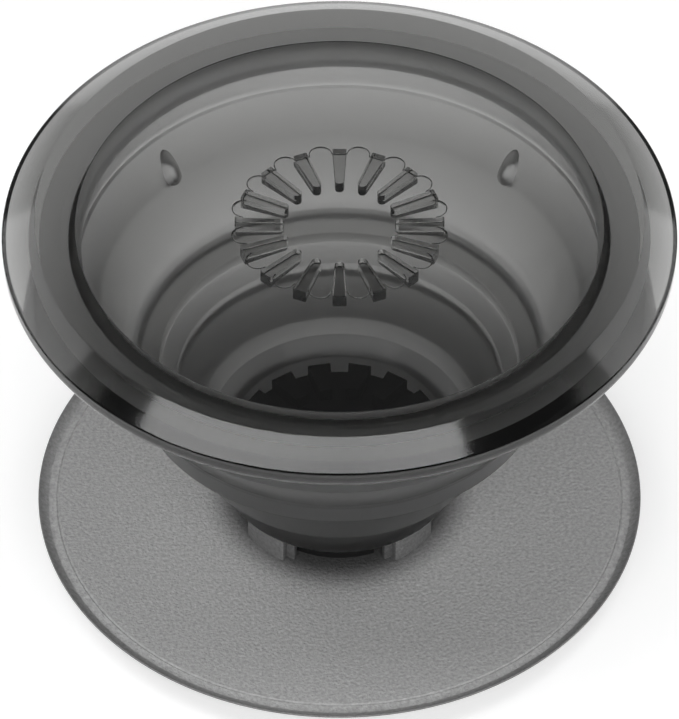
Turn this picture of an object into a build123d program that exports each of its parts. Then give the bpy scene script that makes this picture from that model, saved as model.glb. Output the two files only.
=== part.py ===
from build123d import *

import os
from math import cos, pi, radians, sin, tan

# Collapsible phone grip, expanded, in millimetres.
# The origin is on the underside of the adhesive pad, on the turning axis, with +Z up.

# Clearances
turn_gap = 0.25  # between the top, which turns, and the platform's posts
float_gap = 0.1  # under the hub, which rides on the platform's face
lift_gap = 0.3  # between the bellows' foot and the tops of the posts
seat_gap = 0.05  # round pieces that are bonded or clamped
clutch_gap = 0.12  # each side of a cap rib between the hub's teeth
stop_gap = 0.3  # left under the cap's ribs when the grip is flat

# Adhesive pad
pad_diameter = 32.4
pad_thickness = 0.8
pad_recess_depth = 0.3

# Platform
platform_diameter = 37.06
platform_thickness = 1.5  # from the land round the pad to the face
lip_width = 1.18
lip_rise = 0.3
lip_edge = 0.14  # height of the thin outer edge
moat_depth = 0.12  # shallow channel between the face and the lip
moat_width = 0.55
taper_angle = 45.0  # underside of the lip, from level

# Posts that hold the hub
post_count = 4
post_height = 2.15
post_wall = 0.42  # inner layer, which is the wider one
post_wall_span = 37.0  # degrees
post_rib = 0.43  # outer layer
post_rib_span = 27.0  # degrees
hook_reach = 0.8
hook_thickness = 0.7

# Hub
neck_diameter = 11.0
neck_core_diameter = 6.8
hub_disc_thickness = 0.75
hub_roof = 0.9  # plastic left over the core
tooth_height = 0.9
tooth_inner_radius = 4.2
notch_margin = 8.0  # degrees that a notch is wider than a hook

# Clutch: ribs under the cap, with shallow petals between them, drop between teeth on the hub
petal_count = 16
petal_radius = 6.5
petal_relief = 0.12
rib_depth = 0.9
rib_outer_width = 0.85
rib_inner_width = 0.56
rib_inset = 0.3  # ribs end this far inside the petals
rib_inner_radius = 3.57

# Accordion
bellows_wall = 0.74
wall_lean = 40.0  # direction of the wall's thickness, from level
foot_wall = 0.65
foot_lip_thickness = 0.4
foot_height = 2.45
lower_fold_width = 1.95
lower_fold_rise = 1.15
lower_cone_spread = 2.2
lower_cone_height = 4.85
upper_fold_width = 1.1
upper_fold_rise = 0.55
upper_cone_height = 7.85
band_height = 1.9
band_wall = 0.42  # thin, bending wall between the cap's ring and the upper cone
nub_count = 4
nub_length = 1.3  # without its ends
nub_radius = 0.5
nub_lean = 0.1  # axis of a nub ahead of the wall's face
nub_tail = 0.75  # length of the tapered upper end
nub_nose = 0.4  # length of the blunt lower end
nub_sides = 8
nub_drop = 5.7  # middle of a nub below the cap's plate

# Cap
cap_diameter = 40.0
cap_plate_thickness = 0.85
rim_width = 3.4
rim_overhang = 1.25  # depth of the rim below the plate
ring_width = 0.95  # ring inside the rim, which carries the bellows
ring_height = 1.85
bevel_width = 1.98
bevel_height = 1.14

# Levels up the axis
land_z = pad_thickness - pad_recess_depth
face_z = land_z + platform_thickness
lip_z = face_z + lip_rise
post_z = face_z + post_height
hub_z = face_z + float_gap
flange_z = post_z - hook_thickness - turn_gap
foot_z = post_z + lift_gap
lip_seat_z = foot_z + foot_lip_thickness
pocket_z = lip_seat_z + hub_disc_thickness
collar_z = foot_z + foot_height + lower_fold_rise + lower_cone_height + upper_fold_rise + upper_cone_height
ring_z = collar_z + band_height
plate_z = ring_z + ring_height
cap_z = plate_z + cap_plate_thickness
collapse_travel = plate_z - rib_depth - pocket_z - stop_gap

# Radii that pieces share
platform_radius = platform_diameter / 2
face_radius = platform_radius - lip_width
neck_radius = neck_diameter / 2
post_inner_radius = neck_radius + turn_gap
hook_radius = post_inner_radius - hook_reach
waist_radius = hook_radius - turn_gap
rib_outer_radius = petal_radius - rib_inset
mouth_radius = petal_radius + clutch_gap
foot_radius = mouth_radius + foot_wall
cap_radius = cap_diameter / 2
ring_radius = cap_radius - rim_width
band_inner = ring_radius - ring_width


def turned(points):
    """Solid of revolution about Z from a closed outline of (radius, height) points."""
    outline = Polyline(*points, close=True)
    return revolve(Plane.XZ * make_face(outline), axis=Axis.Z)


def sector(inner_radius, outer_radius, span, low, high):
    """Arc-shaped block centred on +X, span degrees wide."""
    half = radians(span / 2)
    reach = outer_radius / cos(half) * 1.1
    wedge = make_face(Polyline((0, 0), (reach * cos(half), -reach * sin(half)),
                               (reach * cos(half), reach * sin(half)), close=True))
    section = (Circle(outer_radius) - Circle(inner_radius)) & wedge
    return Pos(0, 0, low) * extrude(section, high - low)


def ring_of(shape, count, first_angle=0.0):
    """Copies of a shape, evenly spaced round Z."""
    return [Rot(0, 0, first_angle + 360 * k / count) * shape for k in range(count)]


def rib_half_width(radius):
    """Half the width of a clutch rib, which widens outwards in a straight taper."""
    share = (radius - rib_inner_radius) / (rib_outer_radius - rib_inner_radius)
    return (rib_inner_width + share * (rib_outer_width - rib_inner_width)) / 2


def make_adhesive_pad():
    return extrude(Circle(pad_diameter / 2), pad_thickness)


def make_platform():
    edge_z = lip_z - lip_edge
    land_radius = platform_radius - (edge_z - land_z) / tan(radians(taper_angle))
    recess = pad_diameter / 2 + seat_gap
    disc = turned([
        (0, pad_thickness),
        (recess, pad_thickness),
        (recess, land_z),
        (land_radius, land_z),
        (platform_radius, edge_z),
        (platform_radius, lip_z),
        (face_radius + moat_width, face_z - moat_depth),
        (face_radius, face_z),
        (0, face_z),
    ])
    wall_radius = post_inner_radius + post_wall
    wall = sector(post_inner_radius, wall_radius, post_wall_span, face_z, post_z)
    rib = sector(wall_radius, wall_radius + post_rib, post_rib_span, face_z, post_z)
    hook = sector(hook_radius, post_inner_radius, post_wall_span, post_z - hook_thickness, post_z)
    post_angle = 180 / post_count
    posts = ring_of(wall + rib, post_count, post_angle)
    hooks = ring_of(hook, 2, post_angle)
    return disc + posts + hooks


def make_hub():
    disc_radius = mouth_radius - seat_gap
    core = neck_core_diameter / 2
    body = turned([
        (core, hub_z),
        (neck_radius, hub_z),
        (neck_radius, flange_z),
        (waist_radius, flange_z),
        (waist_radius, lip_seat_z),
        (disc_radius, lip_seat_z),
        (disc_radius, pocket_z),
        (0, pocket_z),
        (0, pocket_z - hub_roof),
        (core, pocket_z - hub_roof),
    ])
    tooth = Pos(0, 0, pocket_z) * extrude(tooth_plan(), tooth_height)
    notch = sector(waist_radius, neck_radius + turn_gap, post_wall_span + notch_margin, hub_z, flange_z)
    notch_angle = 180 / post_count + 90
    return body + ring_of(tooth, petal_count) - ring_of(notch, 2, notch_angle)


def tooth_plan():
    """Block between two neighbouring ribs of the cap, with walls that follow theirs."""
    near = []
    for radius in (tooth_inner_radius, petal_radius - seat_gap):
        near.append(Vector(radius, rib_half_width(radius) + clutch_gap))
    far = [Vector(p.X, -p.Y).rotate(Axis.Z, 360 / petal_count) for p in reversed(near)]
    return make_face(Polyline(*near, *far, close=True))


def bellows_outline():
    """Closed outline of the bellows' wall, from the foot up its outside and down its inside,
    and the lowest inner point of the upper cone."""
    outside = [(foot_radius, foot_z), (foot_radius, foot_z + foot_height)]
    steps = [
        (lower_fold_width, lower_fold_rise),
        (lower_cone_spread, lower_cone_height),
        (upper_fold_width, upper_fold_rise),
    ]
    for run, rise in steps:
        radius, height = outside[-1]
        outside.append((radius + run, height + rise))
    shift_r = bellows_wall * cos(radians(wall_lean))
    shift_z = bellows_wall * sin(radians(wall_lean))
    inside = [(r - shift_r, z + shift_z) for r, z in outside[2:]]
    mouth_z = outside[1][1] + shift_z / 2
    lip_radius = waist_radius + seat_gap
    band_radius = band_inner + band_wall
    band_z = ring_z - seat_gap
    band = [(band_radius, collar_z), (band_radius, band_z), (band_inner, band_z), (band_inner, collar_z)]
    foot = [(mouth_radius, mouth_z), (mouth_radius, lip_seat_z), (lip_radius, lip_seat_z),
            (lip_radius, foot_z)]
    return outside + band + inside[::-1] + foot, inside[-1]


def make_accordion():
    outline, fold = bellows_outline()
    return turned(outline) + ring_of(make_nub(fold), nub_count, 180 / nub_count)


def make_nub(fold):
    """Drop-shaped bump on the inside of the upper cone; fold is that wall's lowest point."""
    lean = (band_inner - fold[0]) / (collar_z - fold[1])
    nub_z = plate_z - nub_drop
    nub_r = band_inner - (collar_z - nub_z) * lean - nub_lean
    half = nub_length / 2
    levels = [
        (half + nub_tail, nub_radius / 3),
        (half, nub_radius),
        (-half, nub_radius),
        (-half - nub_nose, nub_radius / 2),
    ]
    sections = [Pos(0, 0, z) * Rot(0, 0, 180 / nub_sides) * RegularPolygon(radius, nub_sides)
                for z, radius in levels]
    wall_angle = Vector(lean, 1).get_angle(Vector(0, 1))
    nub = loft(sections[:2]) + loft(sections[1:3]) + loft(sections[2:])
    return Pos(nub_r, 0, nub_z) * Rot(0, wall_angle, 0) * nub


def make_cap():
    rim_z = plate_z - rim_overhang
    shoulder_z = cap_z - bevel_height
    disc = turned([
        (0, plate_z),
        (band_inner, plate_z),
        (band_inner, ring_z),
        (ring_radius, ring_z),
        (ring_radius, rim_z),
        (cap_radius, rim_z),
        (cap_radius, shoulder_z),
        (cap_radius - bevel_width, cap_z),
        (0, cap_z),
    ])
    petals = Pos(0, 0, plate_z - petal_relief) * extrude(petal_plan(), petal_relief)
    rib = Pos(0, 0, plate_z - rib_depth) * extrude(rib_plan(), rib_depth)
    return disc + petals + ring_of(rib, petal_count)


def petal_plan():
    """Scalloped disc, with a round petal end between each two ribs."""
    tip_centre = (petal_radius + rib_outer_width / 2) / (1 + sin(pi / petal_count))
    tip = Pos(tip_centre, 0) * Circle(petal_radius - tip_centre)
    return Circle(tip_centre) + ring_of(tip, petal_count, 180 / petal_count)


def rib_plan():
    """Tapered rib along +X with a blunt inner end."""
    inner_half = rib_half_width(rib_inner_radius)
    outer_half = rib_half_width(rib_outer_radius)
    end = rib_inner_radius - inner_half
    return make_face(Polyline(
        (rib_inner_radius, -inner_half), (rib_outer_radius, -outer_half),
        (rib_outer_radius, outer_half), (rib_inner_radius, inner_half),
        (end, inner_half / 2), (end, -inner_half / 2), close=True))


os.makedirs("parts", exist_ok=True)
export_step(make_adhesive_pad(), "parts/adhesive_pad.step")
export_step(make_platform(), "parts/platform.step")
export_step(make_hub(), "parts/hub.step")
export_step(make_accordion(), "parts/accordion.step")
export_step(make_cap(), "parts/cap.step")
print("collapse travel", round(collapse_travel, 3), "height", round(cap_z, 3))
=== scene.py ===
"""Collapsible phone grip in smoke-grey plastic: finishes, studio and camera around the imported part."""

from math import acos, asin, atan2, cos, pi, radians, sin, tan

import bmesh
import bpy
from mathutils import Matrix, Vector


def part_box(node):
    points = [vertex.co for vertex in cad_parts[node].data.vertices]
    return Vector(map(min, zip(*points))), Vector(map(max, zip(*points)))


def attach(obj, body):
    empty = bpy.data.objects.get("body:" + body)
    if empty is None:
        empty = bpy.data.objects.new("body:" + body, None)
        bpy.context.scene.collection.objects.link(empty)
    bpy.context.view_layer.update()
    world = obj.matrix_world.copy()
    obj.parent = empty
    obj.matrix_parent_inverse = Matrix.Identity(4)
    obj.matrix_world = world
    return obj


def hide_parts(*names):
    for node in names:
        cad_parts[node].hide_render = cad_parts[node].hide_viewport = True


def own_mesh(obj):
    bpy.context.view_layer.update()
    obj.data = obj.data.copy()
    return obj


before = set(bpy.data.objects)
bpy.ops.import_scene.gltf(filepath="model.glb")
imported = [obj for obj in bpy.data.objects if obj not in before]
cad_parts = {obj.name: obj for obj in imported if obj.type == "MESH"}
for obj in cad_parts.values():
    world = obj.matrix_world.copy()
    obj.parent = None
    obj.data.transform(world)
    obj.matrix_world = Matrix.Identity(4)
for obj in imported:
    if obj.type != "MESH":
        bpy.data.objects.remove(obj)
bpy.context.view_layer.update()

MM = 0.001

# Sizes and levels read from the frame
cap_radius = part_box("cap")[1].x
cap_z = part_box("cap")[1].z
ring_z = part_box("cap")[0].z
band_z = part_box("accordion")[1].z
foot_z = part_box("accordion")[0].z
band_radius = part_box("accordion")[1].x
platform_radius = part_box("platform")[1].x
land_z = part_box("platform")[0].z
post_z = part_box("platform")[1].z
pad_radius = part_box("adhesive_pad")[1].x
pad_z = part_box("adhesive_pad")[1].z

# Sizes of the cap that its box doesn't show
plate_thickness = 0.85 * MM
rim_width = 3.4 * MM
ring_width = 0.95 * MM
bevel_width = 1.98 * MM
bevel_height = 1.14 * MM
petal_count = 16
petal_radius = 6.5 * MM
petal_relief = 0.12 * MM
rib_depth = 0.9 * MM
rib_outer_width = 0.85 * MM
rib_inner_width = 0.56 * MM
rib_outer_radius = 6.2 * MM
rib_inner_radius = 3.57 * MM

# Sizes of the bellows that its box doesn't show; each fold and cone is a run outwards and a rise
bellows_wall = 0.74 * MM
wall_lean = radians(40)  # direction of the wall's thickness, from level
foot_wall = 0.65 * MM
foot_lip_thickness = 0.4 * MM
foot_height = 2.45 * MM
lower_fold = (1.95 * MM, 1.15 * MM)
lower_cone = (2.2 * MM, 4.85 * MM)
upper_fold = (1.1 * MM, 0.55 * MM)
band_height = 1.9 * MM
mouth_radius = 6.62 * MM
lip_radius = 4.75 * MM
nub_count = 4
nub_lean = 0.1 * MM
nub_high = 1.4 * MM
nub_low = 1.05 * MM
nub_drop = 5.7 * MM

# Sizes of the platform that its box doesn't show
seat_gap = 0.05 * MM
lip_width = 1.18 * MM
lip_rise = 0.3 * MM
lip_edge = 0.14 * MM
moat_depth = 0.12 * MM
moat_width = 0.55 * MM
taper_angle = radians(45)
post_count = 4
post_height = 2.15 * MM
post_inner_radius = 5.75 * MM
post_wall = 0.42 * MM
post_wall_span = radians(37)
post_rib = 0.43 * MM
post_rib_span = radians(27)
hook_reach = 0.8 * MM
hook_thickness = 0.7 * MM

# Levels and radii that follow from these
plate_z = cap_z - plate_thickness
band_inner = cap_radius - rim_width - ring_width

# Fineness of the meshes
ring_segments = 384
bellows_segments = 320
nub_segments = 40
edge_steps = 5  # of a fillet
large_steps = 15  # of a fillet larger than fold_round
block_steps = 4  # of an eased edge on a block
support = 0.03 * MM  # smallest fillet, flat strip beside a fillet, and smallest distance that counts
sharp_angle = radians(30)  # edges that turn more than this are shaded sharp
flat_angle = radians(10)  # the same on the cap, whose large flat faces have to stay flat

# Fillets that the pieces share
small_round = 0.1 * MM
fold_round = 0.3 * MM

# Forms of the cap
cap_edge = 0.14 * MM
petal_edge = 0.1 * MM
rib_edge = 0.08 * MM
petal_sink = 0.2 * MM  # the petals' block goes this far up into the plate
rib_sink = 0.3 * MM  # and the ribs' blocks this far
ring_step = 0.35 * MM  # the ring's wall leans inwards by this much
rim_rise = 0.3 * MM  # the rim's underside rises outwards by this much
rim_round = 0.85 * MM  # and turns up into the edge with this radius
satin_width = 1.2 * MM  # it is satin this far out from the ring
polished_radius = 13 * MM  # everything nearer to the axis than this is polished
upward = 0.5  # a face looks up where its normal rises more than this
full_satin = 1.0
bevel_satin = 0.1
satin_roughness = 0.78  # of a fully satin face

# Forms of the bellows
mouth_round = 0.15 * MM
hinge_depth = 0.22 * MM  # crease on the inside, below the upper fold
hinge_height = 1.7 * MM
crease_drop = 0.68 * MM  # the deepest line of the crease is this far below its top
hinge_groove = 0.36 * MM  # depth of the groove opposite to it on the outside
hinge_groove_height = 0.6 * MM  # from the groove's lower edge to its deepest line
lower_swell = 0.165 * MM  # the lower cone is thicker below that crease
toe_reach = 0.726 * MM  # its inner lower end is this far inwards of the plain wall's
toe_drop = 0.99 * MM  # and this far below it
fold_drop = 0.7 * MM  # the upper fold is thickened downwards by this much
lower_drop = 0.15 * MM  # and the lower fold by this much
panel_swell = 0.35 * MM  # the upper cone swells outwards in its middle
panel_round = 1.2 * MM
panel_thin = 0.25 * MM  # and is thinner at its lower end
panel_thin_rise = 0.44 * MM  # which is this far above the fold
band_step = 0.1 * MM  # step inwards from the band to the upper cone
nub_radius = 0.55 * MM
nub_belly = 0.35 * MM  # a nub is widest this far below its middle
pocket_size = 0.78  # size of the pocket that is cored out behind a nub
pocket_reach = 4  # how many times deeper it is than the nub
pocket_slant = 0.45  # and how steeply it slants down

# Forms of the platform
lip_edge_round = 0.05 * MM
groove_width = 0.16 * MM
groove_depth = 0.1 * MM
moat_start = 0.03 * MM  # depth of the moat beside the groove
post_round = 0.07 * MM
post_overlap = 0.14 * MM  # the layers of a post go this far into each other
hook_span = radians(36)  # a hair narrower than the post, so that no faces coincide

# Painted shade on the platform, which changes with the distance from the axis
foot_painted_shadow = 0.15  # painted contact shadow at the posts
foot_shadow_width = 2.9 * MM  # and it fades out over this distance
# level of the face where no shade is painted
unshaded_face_level = 1.0
outer_painted_shade = 0.78  # painted shade where the face meets the lip
# painted shade at the platform's outer edge, over the width below
rim_painted_shade = 0.4
rim_shade_width = 1.003 * MM

# Studio; lengths are in metres
box_distance = 0.6
ambient_level = 0.12
backdrop_level = 1.0
floor_size = 1.5
floor_glow = 0.5
light_bounces = 20

# View of the photograph
view_elevation = radians(45.65)
view_distance = 0.4138
view_height = 13.79 * MM
lens_mm = 343.3
sensor_mm = 36
view_depth = 10  # farthest distance that is shown


def spaced_angles(count, offset=0.0):
    """Angles evenly spaced round the axis; offset is a share of the spacing."""
    return [2 * pi * (k + offset) / count for k in range(count)]


def rounded(corners):
    """Closed outline with filleted corners.

    Each corner is (radius, height, edge), where edge is its fillet or 0 for a sharp one.
    """
    points = []
    for k, (r, z, edge) in enumerate(corners):
        corner = Vector((r, z))
        if edge == 0:
            points.append(corner)
            continue
        before = Vector(corners[k - 1][:2]) - corner
        after = Vector(corners[(k + 1) % len(corners)][:2]) - corner
        u, w = before.normalized(), after.normalized()
        half = u.angle(w) / 2
        reach = edge / tan(half)
        centre = corner + (u + w).normalized() * edge / sin(half)
        start = corner + u * reach - centre
        turn = start.angle_signed(corner + w * reach - centre)
        points.append(corner + u * (reach + support))
        steps = edge_steps if edge <= fold_round else large_steps
        for step in range(steps + 1):
            points.append(centre + Matrix.Rotation(-turn * step / steps, 2) @ start)
        points.append(corner + w * (reach + support))
    return points


def add_ring(bm, radius, height, segments):
    """Ring of vertices round Z, or one vertex on the axis."""
    if radius < support:
        return [bm.verts.new((0, 0, height))]
    return [bm.verts.new((radius * cos(a), radius * sin(a), height)) for a in spaced_angles(segments)]


def bridge(bm, lower, upper):
    """Faces between two rings of vertices, either of which may be a single one."""
    count = max(len(lower), len(upper))
    for k in range(count):
        n = (k + 1) % count
        if len(lower) == 1:
            bm.faces.new((lower[0], upper[k], upper[n]))
        elif len(upper) == 1:
            bm.faces.new((lower[k], upper[0], lower[n]))
        else:
            bm.faces.new((lower[k], lower[n], upper[n], upper[k]))


def turned(name, outline, segments, closed=False, place=Matrix.Identity(4)):
    """Object with a surface of revolution about Z, moved by the matrix place."""
    bm = bmesh.new()
    rings = [add_ring(bm, r, z, segments) for r, z in outline]
    pairs = list(zip(rings, rings[1:]))
    if closed:
        pairs.append((rings[-1], rings[0]))
    for lower, upper in pairs:
        if len(lower) > 1 or len(upper) > 1:
            bridge(bm, lower, upper)
    bmesh.ops.transform(bm, matrix=place, verts=bm.verts)
    return to_object(name, bm)


def to_object(name, bm):
    """Object with a copy of the mesh, which is freed."""
    bmesh.ops.recalc_face_normals(bm, faces=bm.faces)
    mesh = bpy.data.meshes.new(name)
    bm.to_mesh(mesh)
    bm.free()
    mesh.shade_smooth()
    mesh.set_sharp_from_angle(angle=sharp_angle)
    piece = bpy.data.objects.new(name, mesh)
    bpy.context.scene.collection.objects.link(piece)
    return piece


def combine(piece, others, operation="UNION", sharp=sharp_angle):
    """Joins other closed pieces to this one, or cuts them from it, and removes them."""
    for other in others:
        modifier = piece.modifiers.new("combine", "BOOLEAN")
        modifier.operation = operation
        modifier.solver = "EXACT"
        modifier.object = other
    bpy.context.view_layer.update()
    evaluated = piece.evaluated_get(bpy.context.evaluated_depsgraph_get())
    mesh = bpy.data.meshes.new_from_object(evaluated)
    piece.modifiers.clear()
    piece.data = mesh
    mesh.shade_smooth()
    mesh.set_sharp_from_angle(angle=sharp)
    for other in others:
        bpy.data.objects.remove(other)


def join(piece, others):
    """Adds other closed opaque pieces to this one as they are, and removes them."""
    bm = bmesh.new()
    for part in [piece, *others]:
        bm.from_mesh(part.data)
    bm.to_mesh(piece.data)
    bm.free()
    for other in others:
        bpy.data.objects.remove(other)


def prism(outline, low, high, edge, sunk):
    """Closed block over a plan outline, with its edges eased except at the level sunk."""
    bm = bmesh.new()
    base = bm.faces.new([bm.verts.new((x, y, low)) for x, y in outline])
    raised = bmesh.ops.extrude_face_region(bm, geom=[base])["geom"]
    top = [part for part in raised if isinstance(part, bmesh.types.BMVert)]
    bmesh.ops.translate(bm, vec=(0, 0, high - low), verts=top)
    bmesh.ops.recalc_face_normals(bm, faces=bm.faces)
    sharp = []
    for e in bm.edges:
        if e.calc_face_angle(0) > sharp_angle and any(abs(v.co.z - sunk) > support for v in e.verts):
            sharp.append(e)
    bmesh.ops.bevel(bm, geom=sharp, offset=edge, segments=block_steps, affect="EDGES", profile=0.5)
    return to_object("block", bm)


def set_material(piece, material):
    """Gives a piece one material all over."""
    piece.data.materials.clear()
    piece.data.materials.append(material)


def petal_outline():
    """Scalloped outline, with a round petal end between each two ribs."""
    tip_steps = 24
    dip_steps = 4
    half_pitch = pi / petal_count
    tip_centre = (petal_radius + rib_outer_width / 2) / (1 + sin(half_pitch))
    tip_radius = petal_radius - tip_centre
    half_sweep = acos(-tip_radius / tip_centre / 2)
    dip = half_pitch - 2 * asin(tip_radius / tip_centre / 2)
    points = []
    for turn in spaced_angles(petal_count):
        for step in range(1, dip_steps):
            a = turn + dip * (2 * step / dip_steps - 1)
            points.append((tip_centre * cos(a), tip_centre * sin(a)))
        middle = turn + half_pitch
        for step in range(tip_steps + 1):
            a = middle + half_sweep * (2 * step / tip_steps - 1)
            x = tip_centre * cos(middle) + tip_radius * cos(a)
            y = tip_centre * sin(middle) + tip_radius * sin(a)
            points.append((x, y))
    return points


def rib_outline(turn):
    """Tapered rib along the direction turn, with a round inner end."""
    end_steps = 24
    inner_half = rib_inner_width / 2
    points = [(rib_outer_radius, -rib_outer_width / 2), (rib_outer_radius, rib_outer_width / 2)]
    for step in range(end_steps + 1):
        a = pi * (0.5 + step / end_steps)
        points.append((rib_inner_radius + inner_half * cos(a), inner_half * sin(a)))
    return [Matrix.Rotation(turn, 2) @ Vector(p) for p in points]


def mark_satin(piece, bevel_radius, satin_radius):
    """Marks how satin each face is: fully on the ring and beside it, slightly on the bevel."""
    satin = piece.data.attributes.new("satin", "FLOAT", "FACE")
    for face in piece.data.polygons:
        radius = face.center.to_2d().length
        below = face.center.z < plate_z - cap_edge and face.normal.z < upward
        if below and polished_radius < radius < satin_radius:
            satin.data[face.index].value = full_satin
        elif radius > bevel_radius and face.normal.z > upward:
            satin.data[face.index].value = bevel_satin


def make_cap():
    """Clear cap: plate, bevelled rim, ring, petals and ribs."""
    ring_radius = cap_radius - rim_width
    bevel_radius = cap_radius - bevel_width
    shoulder_z = cap_z - bevel_height
    satin_radius = ring_radius + satin_width
    corners = [
        (0, plate_z, 0),
        (band_inner, plate_z, support),
        (band_inner - ring_step, ring_z, support),
        (ring_radius, ring_z, support),
        (satin_radius, ring_z + rim_rise * satin_width / rim_width, 0),
        (cap_radius, ring_z + rim_rise, rim_round),
        (cap_radius, shoulder_z, cap_edge),
        (bevel_radius, cap_z, cap_edge),
        (0, cap_z, 0),
    ]
    piece = turned("clear_cap", rounded(corners), ring_segments)
    petal_top = plate_z + petal_sink
    rib_top = plate_z + rib_sink
    clutch = prism(petal_outline(), plate_z - petal_relief, petal_top, petal_edge, petal_top)
    ribs = []
    for turn in spaced_angles(petal_count):
        ribs.append(prism(rib_outline(turn), plate_z - rib_depth, rib_top, rib_edge, rib_top))
    combine(clutch, ribs)
    combine(piece, [clutch], sharp=flat_angle)
    set_material(piece, clear_smoke())
    mark_satin(piece, bevel_radius, satin_radius)
    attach(piece, "top")
    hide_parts("cap")


def along(start, stop, height):
    """Radius at a height on the line between two (radius, height) points."""
    return start[0] + (stop[0] - start[0]) * (height - start[1]) / (stop[1] - start[1])


def bellows_corners():
    """Corners of the wall's section, and the inner wall's ends on the upper cone."""
    foot_radius = mouth_radius + foot_wall
    mouth_z = foot_z + foot_height
    lip_seat_z = foot_z + foot_lip_thickness
    outside = [(foot_radius, mouth_z)]
    for run, rise in (lower_fold, lower_cone, upper_fold):
        r, z = outside[-1]
        outside.append((r + run, z + rise))
    foot, low, high, fold = outside
    shift_r = bellows_wall * cos(wall_lean)
    shift_z = bellows_wall * sin(wall_lean)
    inner_low, inner_high, inner_fold = [(r - shift_r, z + shift_z) for r, z in outside[1:]]
    collar = (band_radius, ring_z - band_height)
    cone_top = (band_inner - band_step, collar[1] - band_step)
    drop_z = high[1] - fold_drop
    thin_z = inner_fold[1] + panel_thin_rise
    swell_z = (thin_z + collar[1]) / 2
    crease_z = inner_high[1] - crease_drop
    step_z = inner_high[1] - hinge_height
    groove_z = step_z - fold_drop
    groove_low_z = groove_z - hinge_groove_height
    corners = [
        (foot_radius, foot_z, small_round),
        (foot[0], foot[1] - lower_drop, fold_round),
        (low[0], low[1] - lower_drop, fold_round),
        (along(low, high, groove_low_z), groove_low_z, small_round),
        (along(low, high, groove_z) - hinge_groove, groove_z, small_round),
        (along(low, high, drop_z), drop_z, fold_round),
        (fold[0], fold[1] - fold_drop, fold_round),
        (fold[0], inner_fold[1], small_round),
        (along(fold, collar, thin_z) - panel_thin, thin_z, fold_round),
        (along(fold, collar, swell_z) + panel_swell, swell_z, panel_round),
        (*collar, fold_round),
        (band_radius, band_z, 0),
        (band_inner + band_step, band_z, 0),
        (band_inner + band_step, collar[1], support),
        (*cone_top, small_round),
        (*inner_fold, fold_round),
        (*inner_high, small_round),
        (along(inner_low, inner_high, crease_z) + hinge_depth, crease_z, support),
        (along(inner_low, inner_high, step_z) - lower_swell, step_z, small_round),
        (inner_low[0] - toe_reach, inner_low[1] - toe_drop, small_round),
        (mouth_radius, mouth_z, mouth_round),
        (mouth_radius, lip_seat_z, 0),
        (lip_radius, lip_seat_z, 0),
        (lip_radius, foot_z, 0),
    ]
    return corners, Vector(inner_fold), Vector(cone_top)


def make_nub(low, high, turn, size=1.0, depth=1.0):
    """Egg-shaped bump along the upper cone's inner wall, or the pocket behind it."""
    steps = 12
    wall = (high - low).normalized()
    z = plate_z - nub_drop
    r = low.x + (z - low.y) * wall.x / wall.y - nub_lean
    outline = []
    for step in range(2 * steps + 1):
        a = pi / 2 * (step / steps - 1)
        reach = nub_high + nub_belly if a > 0 else nub_low - nub_belly
        outline.append((nub_radius * cos(a), reach * sin(a) - nub_belly))
    place = Matrix.Rotation(turn, 4, "Z") @ Matrix.Translation((r, 0, z))
    lean = Matrix.Rotation(atan2(wall.x, wall.y), 4, "Y")
    inner = Matrix.Translation((-nub_radius * size, 0, 0))
    slant = Matrix.Diagonal((depth, 1, 1, 1))
    slant[2][0] = -pocket_slant * (depth - 1)
    stretch = inner @ slant @ inner.inverted() @ Matrix.Scale(size, 4)
    return turned("nub", outline, nub_segments, place=place @ lean @ stretch)


def make_bellows():
    """Bellows with its nubs."""
    corners, low, high = bellows_corners()
    piece = turned("bellows", rounded(corners), bellows_segments, closed=True)
    nub_turns = spaced_angles(nub_count, offset=0.5)
    combine(piece, [make_nub(low, high, turn) for turn in nub_turns])
    pockets = [make_nub(low, high, turn, pocket_size, pocket_reach) for turn in nub_turns]
    combine(piece, pockets, "DIFFERENCE")
    set_material(piece, smoke_bellows())
    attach(piece, "stem")
    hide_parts("accordion")
    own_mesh(piece)


def arc_block(inner, outer, span, low, high, turn):
    """Arc-shaped block with eased edges, centred on the direction turn."""
    steps = 14
    ends = []
    for radius in (inner, outer):
        line = []
        for k in range(steps + 1):
            a = turn - span / 2 + span * k / steps
            line.append((radius * cos(a), radius * sin(a)))
        ends.append(line)
    return prism(ends[1] + ends[0][::-1], low, high, post_round, low)


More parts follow.
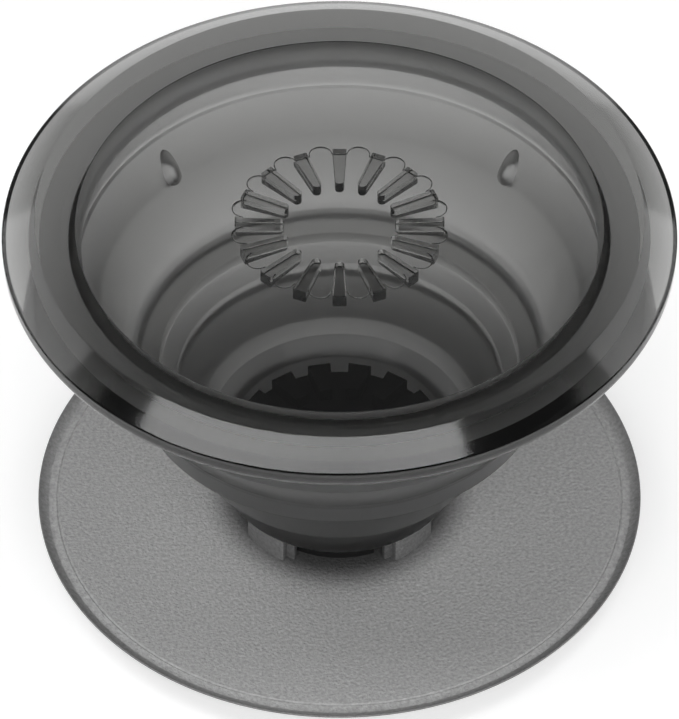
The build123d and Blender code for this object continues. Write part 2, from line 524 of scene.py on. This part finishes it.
def make_platform():
    """Frosted base with its lip, its posts and their hooks."""
    face_z = post_z - post_height
    lip_z = face_z + lip_rise
    edge_z = lip_z - lip_edge
    face_radius = platform_radius - lip_width
    land_radius = platform_radius - (edge_z - land_z) / tan(taper_angle)
    recess = pad_radius + seat_gap
    half_groove = groove_width / 2
    corners = [
        (0, pad_z, 0),
        (recess, pad_z, 0),
        (recess, land_z, small_round),
        (land_radius, land_z, small_round),
        (platform_radius, edge_z, lip_edge_round),
        (platform_radius, lip_z, lip_edge_round),
        (face_radius + moat_width, face_z - moat_depth, small_round),
        (face_radius + half_groove, face_z - moat_start, support),
        (face_radius, face_z - groove_depth, support),
        (face_radius - half_groove, face_z, support),
        (0, face_z, 0),
    ]
    piece = turned("frosted_base", rounded(corners), ring_segments)
    wall_radius = post_inner_radius + post_wall
    rib_inner = wall_radius - post_overlap
    rib_outer = wall_radius + post_rib
    hook_inner = post_inner_radius - hook_reach
    hook_outer = post_inner_radius + post_overlap
    sunk = face_z - post_round
    hook_z = post_z - hook_thickness
    layer_z = post_z - support  # a hair lower, so that no faces coincide
    blocks = []
    for k, turn in enumerate(spaced_angles(post_count, offset=0.5)):
        blocks.append(arc_block(post_inner_radius, wall_radius, post_wall_span, sunk, post_z, turn))
        blocks.append(arc_block(rib_inner, rib_outer, post_rib_span, sunk, layer_z, turn))
        if k % 2 == 0:  # every other post has a hook
            blocks.append(arc_block(hook_inner, hook_outer, hook_span, hook_z, layer_z, turn))
    join(piece, blocks)
    set_material(piece, frosted_smoke())
    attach(piece, "base")
    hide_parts("platform")


def new_material(name):
    """Material, with its node tree and its main shader."""
    material = bpy.data.materials.new(name)
    material.use_nodes = True
    return material, material.node_tree, material.node_tree.nodes["Principled BSDF"]


def add_math(tree, operation, first, second):
    """Math node; first is an output, and second is an output or a number."""
    node = tree.nodes.new("ShaderNodeMath")
    node.operation = operation
    tree.links.new(first, node.inputs[0])
    if isinstance(second, float):
        node.inputs[1].default_value = second
    else:
        tree.links.new(second, node.inputs[1])
    return node


def noise(tree, scale, detail=4.0):
    """Noise in object space; scale is in cells per metre."""
    place = tree.nodes.new("ShaderNodeTexCoord")
    texture = tree.nodes.new("ShaderNodeTexNoise")
    texture.inputs["Scale"].default_value = scale
    texture.inputs["Detail"].default_value = detail
    tree.links.new(place.outputs["Object"], texture.inputs["Vector"])
    return texture.outputs["Fac"]


def noise_between(tree, low, high, scale, detail=4.0):
    """The same, with its middle spread over a range of levels."""
    level = tree.nodes.new("ShaderNodeMapRange")
    level.inputs["From Min"].default_value = 0.3
    level.inputs["From Max"].default_value = 0.7
    level.inputs["To Min"].default_value = low
    level.inputs["To Max"].default_value = high
    tree.links.new(noise(tree, scale, detail), level.inputs["Value"])
    return level.outputs["Result"]


def add_bump(tree, shader, height, strength, distance):
    bump = tree.nodes.new("ShaderNodeBump")
    bump.inputs["Strength"].default_value = strength
    bump.inputs["Distance"].default_value = distance
    tree.links.new(height, bump.inputs["Height"])
    tree.links.new(bump.outputs["Normal"], shader.inputs["Normal"])


def add_absorption(tree, colour, density):
    """Smoke in the plastic: it darkens with the thickness that light crosses."""
    absorption = tree.nodes.new("ShaderNodeVolumeAbsorption")
    absorption.inputs["Color"].default_value = colour
    absorption.inputs["Density"].default_value = density
    tree.links.new(absorption.outputs["Volume"], tree.nodes["Material Output"].inputs["Volume"])


def clear_smoke():
    """Hard polished plastic, with a satin finish on the faces that are marked for it."""
    material, tree, shader = new_material("clear_smoke")
    shader.inputs["Base Color"].default_value = (1, 1, 1, 1)
    shader.inputs["Transmission Weight"].default_value = 1.0
    shader.inputs["IOR"].default_value = 1.52
    mark = tree.nodes.new("ShaderNodeAttribute")
    mark.attribute_name = "satin"
    finish = add_math(tree, "MULTIPLY_ADD", mark.outputs["Fac"], satin_roughness)
    tree.links.new(noise_between(tree, 0.0, 0.012, scale=60), finish.inputs[2])
    tree.links.new(finish.outputs["Value"], shader.inputs["Roughness"])
    add_absorption(tree, colour=(0.1, 0.1, 0.09, 1), density=600)
    return material


def smoke_bellows():
    """Soft satin plastic, darker in the mass than the cap's."""
    material, tree, shader = new_material("smoke_bellows")
    shader.inputs["Base Color"].default_value = (1, 1, 1, 1)
    shader.inputs["Transmission Weight"].default_value = 1.0
    shader.inputs["IOR"].default_value = 1.45
    tree.links.new(noise_between(tree, 0.5, 0.56, scale=900), shader.inputs["Roughness"])
    shader.inputs["Coat Weight"].default_value = 0.5
    shader.inputs["Coat Roughness"].default_value = 0.12
    add_absorption(tree, colour=(0.1, 0.1, 0.085, 1), density=980)
    return material


def dark_smoke():
    """Satin moulding, so dark that it is shown as opaque."""
    material, tree, shader = new_material("dark_smoke_moulding")
    shader.inputs["Base Color"].default_value = (0.011, 0.011, 0.011, 1)
    shader.inputs["Specular IOR Level"].default_value = 0.15
    tree.links.new(noise_between(tree, 0.55, 0.65, scale=700), shader.inputs["Roughness"])
    add_bump(tree, shader, noise(tree, scale=4000), strength=0.05, distance=0.05 * MM)
    return material


def painted_shade_by_radius(tree, stops):
    """Painted shade: a grey level that depends on the distance from the axis; stops are (radius, level)
    pairs.
    """
    place = tree.nodes.new("ShaderNodeTexCoord")
    flat = tree.nodes.new("ShaderNodeVectorMath")
    flat.operation = "MULTIPLY"
    flat.inputs[1].default_value = (1, 1, 0)
    radius = tree.nodes.new("ShaderNodeVectorMath")
    radius.operation = "LENGTH"
    tree.links.new(place.outputs["Object"], flat.inputs[0])
    tree.links.new(flat.outputs["Vector"], radius.inputs[0])
    share = add_math(tree, "DIVIDE", radius.outputs["Value"], platform_radius)
    shade = tree.nodes.new("ShaderNodeValToRGB")
    shade.color_ramp.interpolation = "EASE"
    while len(shade.color_ramp.elements) < len(stops):
        shade.color_ramp.elements.new(0.5)
    for element, (at, level) in zip(shade.color_ramp.elements, stops):
        element.position = at / platform_radius
        element.color = (level, level, level, 1)
    tree.links.new(share.outputs["Value"], shade.inputs["Fac"])
    return shade.outputs["Color"]


def frosted_smoke():
    """Fine-grained moulding, with a painted contact shadow round the posts and painted shade at its
    edge.
    """
    material, tree, shader = new_material("frosted_smoke")
    stops = [
        (post_inner_radius, foot_painted_shadow),
        (post_inner_radius + foot_shadow_width, unshaded_face_level),
        (platform_radius - rim_shade_width, outer_painted_shade),
        (platform_radius, rim_painted_shade),
    ]
    grain = noise_between(tree, 0.37, 0.55, scale=4500, detail=3.0)
    # the grain is the moulding's own; the radial levels are painted shade
    grain_and_painted_shade = add_math(tree, "MULTIPLY", painted_shade_by_radius(tree, stops), grain)
    tree.links.new(grain_and_painted_shade.outputs["Value"], shader.inputs["Base Color"])
    tree.links.new(noise_between(tree, 0.45, 0.6, scale=900), shader.inputs["Roughness"])
    add_bump(tree, shader, noise(tree, scale=5500, detail=2.0), strength=0.7, distance=0.1 * MM)
    return material


def gel_pad():
    """Smooth dark gel."""
    material, tree, shader = new_material("gel_pad_skin")
    shader.inputs["Base Color"].default_value = (0.06, 0.06, 0.062, 1)
    tree.links.new(noise_between(tree, 0.3, 0.5, scale=500), shader.inputs["Roughness"])
    add_bump(tree, shader, noise(tree, scale=2500), strength=0.15, distance=0.1 * MM)
    return material


def softbox(name, direction, across, size, radiance):
    """Area light that faces the object; size is along the direction across and square to it."""
    lamp = bpy.data.lights.new(name, "AREA")
    lamp.shape = "RECTANGLE"
    lamp.size, lamp.size_y = size
    lamp.energy = radiance * pi * size[0] * size[1]
    box = bpy.data.objects.new(name, lamp)
    towards = Vector(direction).normalized()
    box.location = Vector((0, 0, view_height)) + towards * box_distance
    up = towards.cross(Vector(across)).normalized()
    box.rotation_euler = Matrix((up.cross(towards), up, towards)).transposed().to_euler()
    box.visible_camera = False
    bpy.context.scene.collection.objects.link(box)
    return box


def make_lights():
    """A box overhead, one at each side, and a front fill that no gloss or glass shows."""
    side_size = (0.42, 0.3)
    side_radiance = 1.5
    softbox("overhead_box", (-0.105, -0.165, 1), (1, 0, 0), size=(0.63, 0.2), radiance=4.8)
    softbox("left_box", (-0.7, 0.45, 0.52), (0.45, 0.7, 0), side_size, side_radiance)
    softbox("right_box", (0.7, 0.45, 0.52), (0.45, -0.7, 0), side_size, side_radiance)
    fill = softbox("front_fill", (0, -0.88, 0.47), (1, 0, 0), size=(0.9, 0.4), radiance=3.2)
    fill.visible_glossy = False
    fill.visible_transmission = False


def make_world():
    """White to the camera, dim otherwise."""
    world = bpy.data.worlds.new("studio")
    world.use_nodes = True
    bpy.context.scene.world = world
    tree = world.node_tree
    path = tree.nodes.new("ShaderNodeLightPath")
    level = tree.nodes.new("ShaderNodeMapRange")
    level.inputs["To Min"].default_value = ambient_level
    level.inputs["To Max"].default_value = backdrop_level
    tree.links.new(path.outputs["Is Camera Ray"], level.inputs["Value"])
    background = tree.nodes["Background"]
    background.inputs["Color"].default_value = (1, 1, 1, 1)
    tree.links.new(level.outputs["Result"], background.inputs["Strength"])


def pale_floor():
    """Grey to the light, and brighter to the camera and to what mirrors or shows the floor."""
    material, tree, shader = new_material("pale_floor")
    shader.inputs["Base Color"].default_value = (0.6, 0.6, 0.6, 1)
    shader.inputs["Roughness"].default_value = 0.9
    shader.inputs["Specular IOR Level"].default_value = 0.1
    shader.inputs["Emission Color"].default_value = (1, 1, 1, 1)
    path = tree.nodes.new("ShaderNodeLightPath")
    seen = path.outputs["Is Camera Ray"]
    for kind in ("Is Glossy Ray", "Is Transmission Ray"):
        seen = add_math(tree, "MAXIMUM", seen, path.outputs[kind]).outputs["Value"]
    glow = add_math(tree, "MULTIPLY", seen, floor_glow)
    tree.links.new(glow.outputs["Value"], shader.inputs["Emission Strength"])
    return material


def make_floor():
    """Level ground just below the pad, so that the two faces don't coincide."""
    bm = bmesh.new()
    bmesh.ops.create_grid(bm, x_segments=1, y_segments=1, size=floor_size)
    bmesh.ops.translate(bm, vec=(0, 0, -support), verts=bm.verts)
    floor = to_object("floor", bm)
    set_material(floor, pale_floor())


def make_camera():
    """Long lens, as far above level as in the photograph."""
    camera = bpy.data.cameras.new("camera")
    camera.lens = lens_mm
    camera.sensor_width = sensor_mm
    camera.clip_end = view_depth
    eye = bpy.data.objects.new("camera", camera)
    back = Vector((0, -cos(view_elevation), sin(view_elevation)))
    eye.location = Vector((0, 0, view_height)) + back * view_distance
    eye.rotation_euler = back.to_track_quat("Z", "Y").to_euler()
    bpy.context.scene.collection.objects.link(eye)
    bpy.context.scene.camera = eye


make_cap()
make_bellows()
make_platform()
set_material(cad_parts["hub"], dark_smoke())
set_material(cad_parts["adhesive_pad"], gel_pad())
make_lights()
make_world()
make_floor()
make_camera()
scene = bpy.context.scene
scene.view_settings.view_transform = "Standard"
scene.cycles.max_bounces = light_bounces
scene.cycles.transmission_bounces = light_bounces
